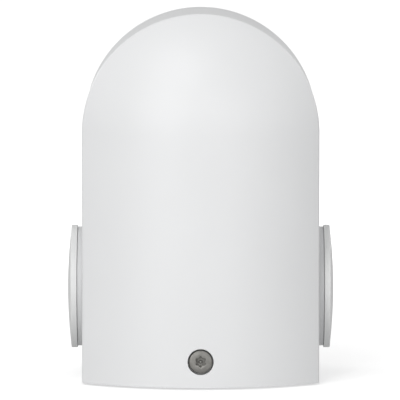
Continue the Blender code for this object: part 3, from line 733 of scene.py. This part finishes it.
def cover_screw():
    """A pan head with a six-lobe recess and a centre pin, on a grooved shank."""
    shank, root, plain_end, tip = 2.45, 2.1, -2, -25
    crown = [(0, HEAD_HEIGHT), (3.0, HEAD_HEIGHT), (4.0, HEAD_HEIGHT - 0.08)]
    crown += arc((HEAD_RADIUS - 0.6, HEAD_HEIGHT - 0.75), 0.6, 80, 0, 8)
    profile = crown + [(HEAD_RADIUS, 0), (HEAD_RADIUS - 0.05, -0.05), (shank, -0.05), (shank, plain_end)]
    turns, pitch = 26, 0.8
    for i in range(turns):
        h = plain_end - i * pitch
        profile += [(shank, h - 0.1), (root, h - 0.35), (root, h - 0.45), (shank, h - 0.7)]
    profile += [(shank, tip + 1.5), (1.9, tip), (0, tip)]
    screw = turned("cover_screw_fine", profile, (0, HEAD_UNDERSIDE, SCREW_Z), -Y)

    face, recess_depth = HEAD_UNDERSIDE - HEAD_HEIGHT, 2.4
    cut(screw, prism("tool", six_lobes(), "Y", face - OVER, face + recess_depth))
    pin = [(0, -0.4), (0.35, -0.4), (0.6, -0.65), (0.6, -2.2), (0, -2.2)]
    join(screw, turned("tool", pin, (0, face, SCREW_Z), -Y, 24))

    def recess_rim(edge):
        return all(abs(v.co.y / MM - face) < SNUG and from_screw_axis(v) < 2.4 for v in edge.verts)

    bevel(screw, 0.22, recess_rim, 3)
    dress(smooth(screw, 50), "housing", "screw_steel", "cover_screw")


# --- tilting bracket and its clamps ---
def bracket():
    """A bent U of sheet metal, cut from the side to its arms' and plate's outline."""
    front, back = -30.0, PLATE_BACK - (ARM_OUTER - ARM_INNER)
    bend = (ARM_INNER - BEND_RADIUS, back - BEND_RADIUS)
    plan = [(ARM_OUTER, front), (ARM_OUTER, bend[1])]
    plan += arc(bend, ARM_OUTER - bend[0], 0, 90, 16)[1:]
    plan += [(-x, y) for x, y in reversed(plan)]
    inside = [(ARM_INNER, front), (ARM_INNER, bend[1])] + arc(bend, BEND_RADIUS, 0, 90, 16)[1:]
    plan += [(-x, y) for x, y in inside] + list(reversed(inside))
    made = prism("bracket_sheet", plan, "Z", PIVOT_Z - 30, PIVOT_Z + 30)

    corner = Vector((44.0, PLATE_HALF_HEIGHT))
    lean = math.degrees(math.atan2(corner.y, corner.x) + math.acos(ARM_RADIUS / corner.length))
    side_view = arc((0, PIVOT_Z), ARM_RADIUS, lean, 360 - lean, 96)
    low, high = PIVOT_Z - PLATE_HALF_HEIGHT, PIVOT_Z + PLATE_HALF_HEIGHT
    side_view += [(corner.x, low), (FAR, low), (FAR, high), (corner.x, high)]
    combine(made, "INTERSECT", [prism("tool", side_view, "X", -FAR, FAR)])

    near, far = 45, 55  # the cutters reach this far out from the middle, through one wall
    holes = [prism("tool", tilt_slot(), "X", *sorted((side * near, side * far))) for side, _ in SIDES]
    holes.append(cylinder("tool", 4.6, (-FAR, 0, PIVOT_Z), (FAR, 0, PIVOT_Z), 64))
    for z in (PIVOT_Z - 12, PIVOT_Z + 12):
        holes += [cylinder("tool", 2.5, (x, near, z), (x, far, z)) for x in (-34, 34)]
    for x in (-18, 18):
        strap_slot = round_ended(x, PIVOT_Z - 12, PIVOT_Z + 12, 1.5)
        holes.append(prism("tool", strap_slot, "Y", near, far))
    cut(made, *holes)
    soften(made, 0.15, 50, 3)
    dress(smooth(made), "bracket", "bracket_paint", "bracket")


def tilt_slot():
    """The arms' curved slot for the housing's stop pin, as a (y, z) outline."""
    half_width = 2.2
    play = math.degrees((half_width - PIN_RADIUS) / PIN_TRACK)
    first, last = 90 - TILT_LIMIT - play, 90 + TILT_LIMIT + play
    centre = (0, PIVOT_Z)
    first_end, last_end = (on_circle(centre, PIN_TRACK, angle) for angle in (first, last))
    outline = arc(centre, PIN_TRACK + half_width, first, last, 24)
    outline += arc(last_end, half_width, last, last + 180, 12)[1:-1]
    outline += arc(centre, PIN_TRACK - half_width, last, first, 24)
    outline += arc(first_end, half_width, first + 180, first + 360, 12)[1:-1]
    return outline


def clamp_knob(side, word):
    """A shallow dome on a thin rim, with a hub inside."""
    apex, rim, wall, inner = 3.95, 2.3, 1.5, 24.2
    radius = (CAP_RADIUS**2 + (apex - rim) ** 2) / (2 * (apex - rim))

    def dome(r):
        return apex - radius + math.sqrt(radius**2 - r**2)

    outer = [(r, dome(r)) for r in (0, 1, 2, 4, 6, 8, 10, 12, 14, 16, 18, 20, 22, 23.5, 24.7, 25.5)]
    edge = arc((CAP_RADIUS - 0.45, dome(25.5) - 0.42), 0.45, 75, 0, 8)
    skirt = SKIRT_END - CAP_BASE
    foot = arc((CAP_RADIUS - 0.15, skirt + 0.15), 0.15, 0, -90, 5)
    roof = [(r, dome(r) - wall) for r in (inner, 22, 20, 18, 16, 14, 12)]
    hub = [(12, 0.2), (11.8, 0), (9.5, 0), (9.3, 0.2), (9.3, 2.2), (0, 2.2)]
    profile = outer + edge + foot + [(inner, skirt)] + roof + hub
    knob = turned(f"clamp_knob_{word}_fine", profile, (side * CAP_BASE, 0, PIVOT_Z), X * side, 160)
    dress(smooth(knob), f"knob_{word}", "cap_polymer", f"clamp_knob_{word}")


# --- underside and port bay ---
def feet():
    sole = [(0, 2.0), (4.9, 2.0), (5.0, 1.9), (5.0, 0.55), (4.85, 0.2), (4.5, 0), (3.6, 0), (3.4, 0.25)]
    sole += [(2.6, 0.25), (2.4, 0), (0, 0)]
    for number, (x, y) in enumerate(FEET, 1):
        foot = turned(f"foot_{number}_fine", sole, (x, y, 0), Z, 64)
        dress(smooth(foot), "housing", "grey_rubber", f"foot_{number}")


def port_cover():
    """The sliding plate and its upright tab, with finger grips below and a slit cable grommet."""
    side, front, top, tab_front = BAY_HALF_WIDTH - 0.3, BAY_FRONT + 0.3, 3.7, BACK - 2
    cover = box("port_cover_fine", (-side, front, 1.2), (side, BACK, top))
    runners = box("tool", (-28.5, front, 2.5), (28.5, BACK, top))
    tab = box("tool", (-side, tab_front, 1.4), (side, BACK, 16))
    join(cover, runners, tab)
    grips, grip_end, grip_half = [], 12 - 0.6, 0.6
    for y in (20.6, 23.6, 26.6):
        ends = arc((grip_end, y), grip_half, -90, 90, 8) + arc((-grip_end, y), grip_half, 90, 270, 8)
        grips.append(prism("tool", ends, "Z", 0, 1.7))
    hole = cylinder("tool", 4.5, (0, 20, CORD_HOLE_Z), (0, 40, CORD_HOLE_Z), 64)
    cut(cover, hole, *grips)
    soften(cover, 0.2, 50, 2)
    dress(smooth(cover), "port_cover", "white_polymer", "port_cover")

    ring = [(5.5, 3.4), (5.5, 2.5), (4.2, 2.3), (4.2, -0.3)]
    ring += [(5.5, -0.5), (5.5, -1.3), (2.2, -1.3), (2.2, 3.4)]
    ring = rounded([ring[-1], *ring, ring[0]], 0.3, 3)[1:-1]
    grommet = turned("cable_grommet_fine", ring, (0, tab_front, CORD_HOLE_Z), Y, 64)
    slit = box("tool", (-0.15, 28, 4), (0.15, 36, 9))
    cut(grommet, slit)
    dress(smooth(grommet), "port_cover", "seal_rubber", "cable_grommet")


def socket_contacts():
    """Eight gilded springs in each network socket, each bent back from the socket's front wall."""
    mouth, pitch, half_width = BAY_TOP + 0.3, 1.02, 0.22
    fold = [(4.9, 1.5), (4.9, 10.5), (7.6, 4.5), (7.4, 4.3), (5.2, 9.6), (5.2, 1.5)]
    path = [(y, mouth + z) for y, z in fold]
    for side, word in SIDES:
        springs = []
        for i in range(8):
            x = side * JACK_X + (i - 3.5) * pitch
            springs.append(prism("tool", path, "X", x - half_width, x + half_width))
        contacts = springs[0]
        contacts.name = f"socket_contacts_{word}"
        bm = bmesh.new()
        for spring in springs:
            bm.from_mesh(spring.data)
        for spring in springs[1:]:
            bpy.data.objects.remove(spring)
        bm.to_mesh(contacts.data)
        bm.free()
        dress(soften(contacts, 0.05, 40, 1), "housing", "brass", look=GOLD)


def carried_over():
    """The CAD nodes that keep their own shape get their materials."""
    for name, node in NODES.items():
        if node.hide_render:
            continue
        slot = next(s["material_slot"] for s in frame["record"]["subparts"] if s["node"] == name)
        node.data.materials.clear()
        node.data.materials.append(LOOKS[slot])


# --- studio ---
CAMERA_PLACE = Vector((-0.27, -2264, 266.6))
CAMERA_TARGET = Vector((-0.27, FRONT_EDGE, 78.2))
CAMERA_LENS = 479
AMBIENT = 0.455  # strength of the even light from all round
FLOOR_HALF_SIZE = 40  # metres
GLOW_START, GLOW_REACH = 0.1, 0.5  # metres from the origin, between which the floor's glow grows
GLOW_NEAR, GLOW_FAR = 0.32, 0.66  # its strength before and beyond them
LAMP_DISTANCE = 1.6  # metres
LAMP_TARGET = Vector((0, 0, 0.08))
LAMPS = {  # azimuth and elevation in degrees, size in metres, power in watts
    "left_low": (-25, 8, 0.8, 6.9),
    "left_high": (-25, 42, 0.8, 4.3),
    "front_low": (10, 8, 0.8, 3.3),
    "right_low": (30, 8, 0.8, 1.9),
    "highlight": (-8, 38, 0.3, 1.3),
    "back_top": (180, 65, 0.8, 1.5),
    "back_left": (-130, 20, 0.8, 5.5),
    "back_right": (130, 20, 0.8, 5.5),
}


def surroundings():
    """Even white light from all round, and a plain white background where the floor ends."""
    world = bpy.data.worlds.new("studio")
    bpy.context.scene.world = world
    world.use_nodes = True
    nodes, links = world.node_tree.nodes, world.node_tree.links
    light = nodes["Background"]
    light.inputs["Color"].default_value = (1, 1, 1, 1)
    light.inputs["Strength"].default_value = AMBIENT
    backdrop = nodes.new("ShaderNodeBackground")
    backdrop.inputs["Color"].default_value = (1, 1, 1, 1)
    path = nodes.new("ShaderNodeLightPath")
    choice = nodes.new("ShaderNodeMixShader")
    links.new(path.outputs["Is Camera Ray"], choice.inputs[0])
    links.new(light.outputs["Background"], choice.inputs[1])
    links.new(backdrop.outputs["Background"], choice.inputs[2])
    links.new(choice.outputs["Shader"], nodes["World Output"].inputs["Surface"])


def lamps():
    """Square softboxes, all turned towards the middle of the object."""
    for name, (azimuth, elevation, size, power) in LAMPS.items():
        data = bpy.data.lights.new(name, "AREA")
        data.shape = "SQUARE"
        data.size = size
        data.energy = power
        lamp = bpy.data.objects.new(name, data)
        bpy.context.scene.collection.objects.link(lamp)
        turn, rise = math.radians(azimuth), math.radians(elevation)
        away = Vector((math.sin(turn) * math.cos(rise), -math.cos(turn) * math.cos(rise), math.sin(rise)))
        lamp.location = LAMP_TARGET + LAMP_DISTANCE * away
        lamp.rotation_euler = (-away).to_track_quat("-Z", "Y").to_euler()
        lamp.visible_camera = False


def floor():
    """White paper that throws no light on the object, and glows enough to hide shadows far from it."""
    mesh = bpy.data.meshes.new("floor")
    bm = bmesh.new()
    bmesh.ops.create_grid(bm, x_segments=2, y_segments=2, size=FLOOR_HALF_SIZE)
    bm.to_mesh(mesh)
    bm.free()
    made = add("floor", mesh)
    tree = Tree("floor_paper")
    tree.set(Base_Color=mottled(tree, (0.9, 0.9, 0.9), 3, 0.004), Roughness=0.9)
    tree.shader.inputs["Emission Color"].default_value = (1, 1, 1, 1)
    away = tree.node("ShaderNodeVectorMath", operation="LENGTH")
    tree.link(tree.place, away.inputs[0])
    glow = tree.span(away.outputs["Value"], GLOW_NEAR, GLOW_FAR, GLOW_START, GLOW_REACH)
    tree.link(glow, tree.shader.inputs["Emission Strength"])
    mesh.materials.append(tree.material)
    made.visible_diffuse = False
    made.visible_glossy = False


def camera():
    """A long lens straight in front, slightly above the object."""
    data = bpy.data.cameras.new("camera")
    data.lens = CAMERA_LENS
    data.sensor_width = 36
    data.clip_end = 50
    view = bpy.data.objects.new("camera", data)
    bpy.context.scene.collection.objects.link(view)
    view.location = CAMERA_PLACE * MM
    view.rotation_euler = (CAMERA_TARGET - CAMERA_PLACE).to_track_quat("-Z", "Y").to_euler()
    bpy.context.scene.camera = view


def build():
    front_cover()
    rear_housing()
    cover_screw()
    bracket()
    for side, word in SIDES:
        clamp_knob(side, word)
    feet()
    port_tray()
    port_cover()
    socket_contacts()
    carried_over()
    surroundings()
    lamps()
    floor()
    camera()


build()
bpy.context.scene.view_settings.view_transform = "Standard"
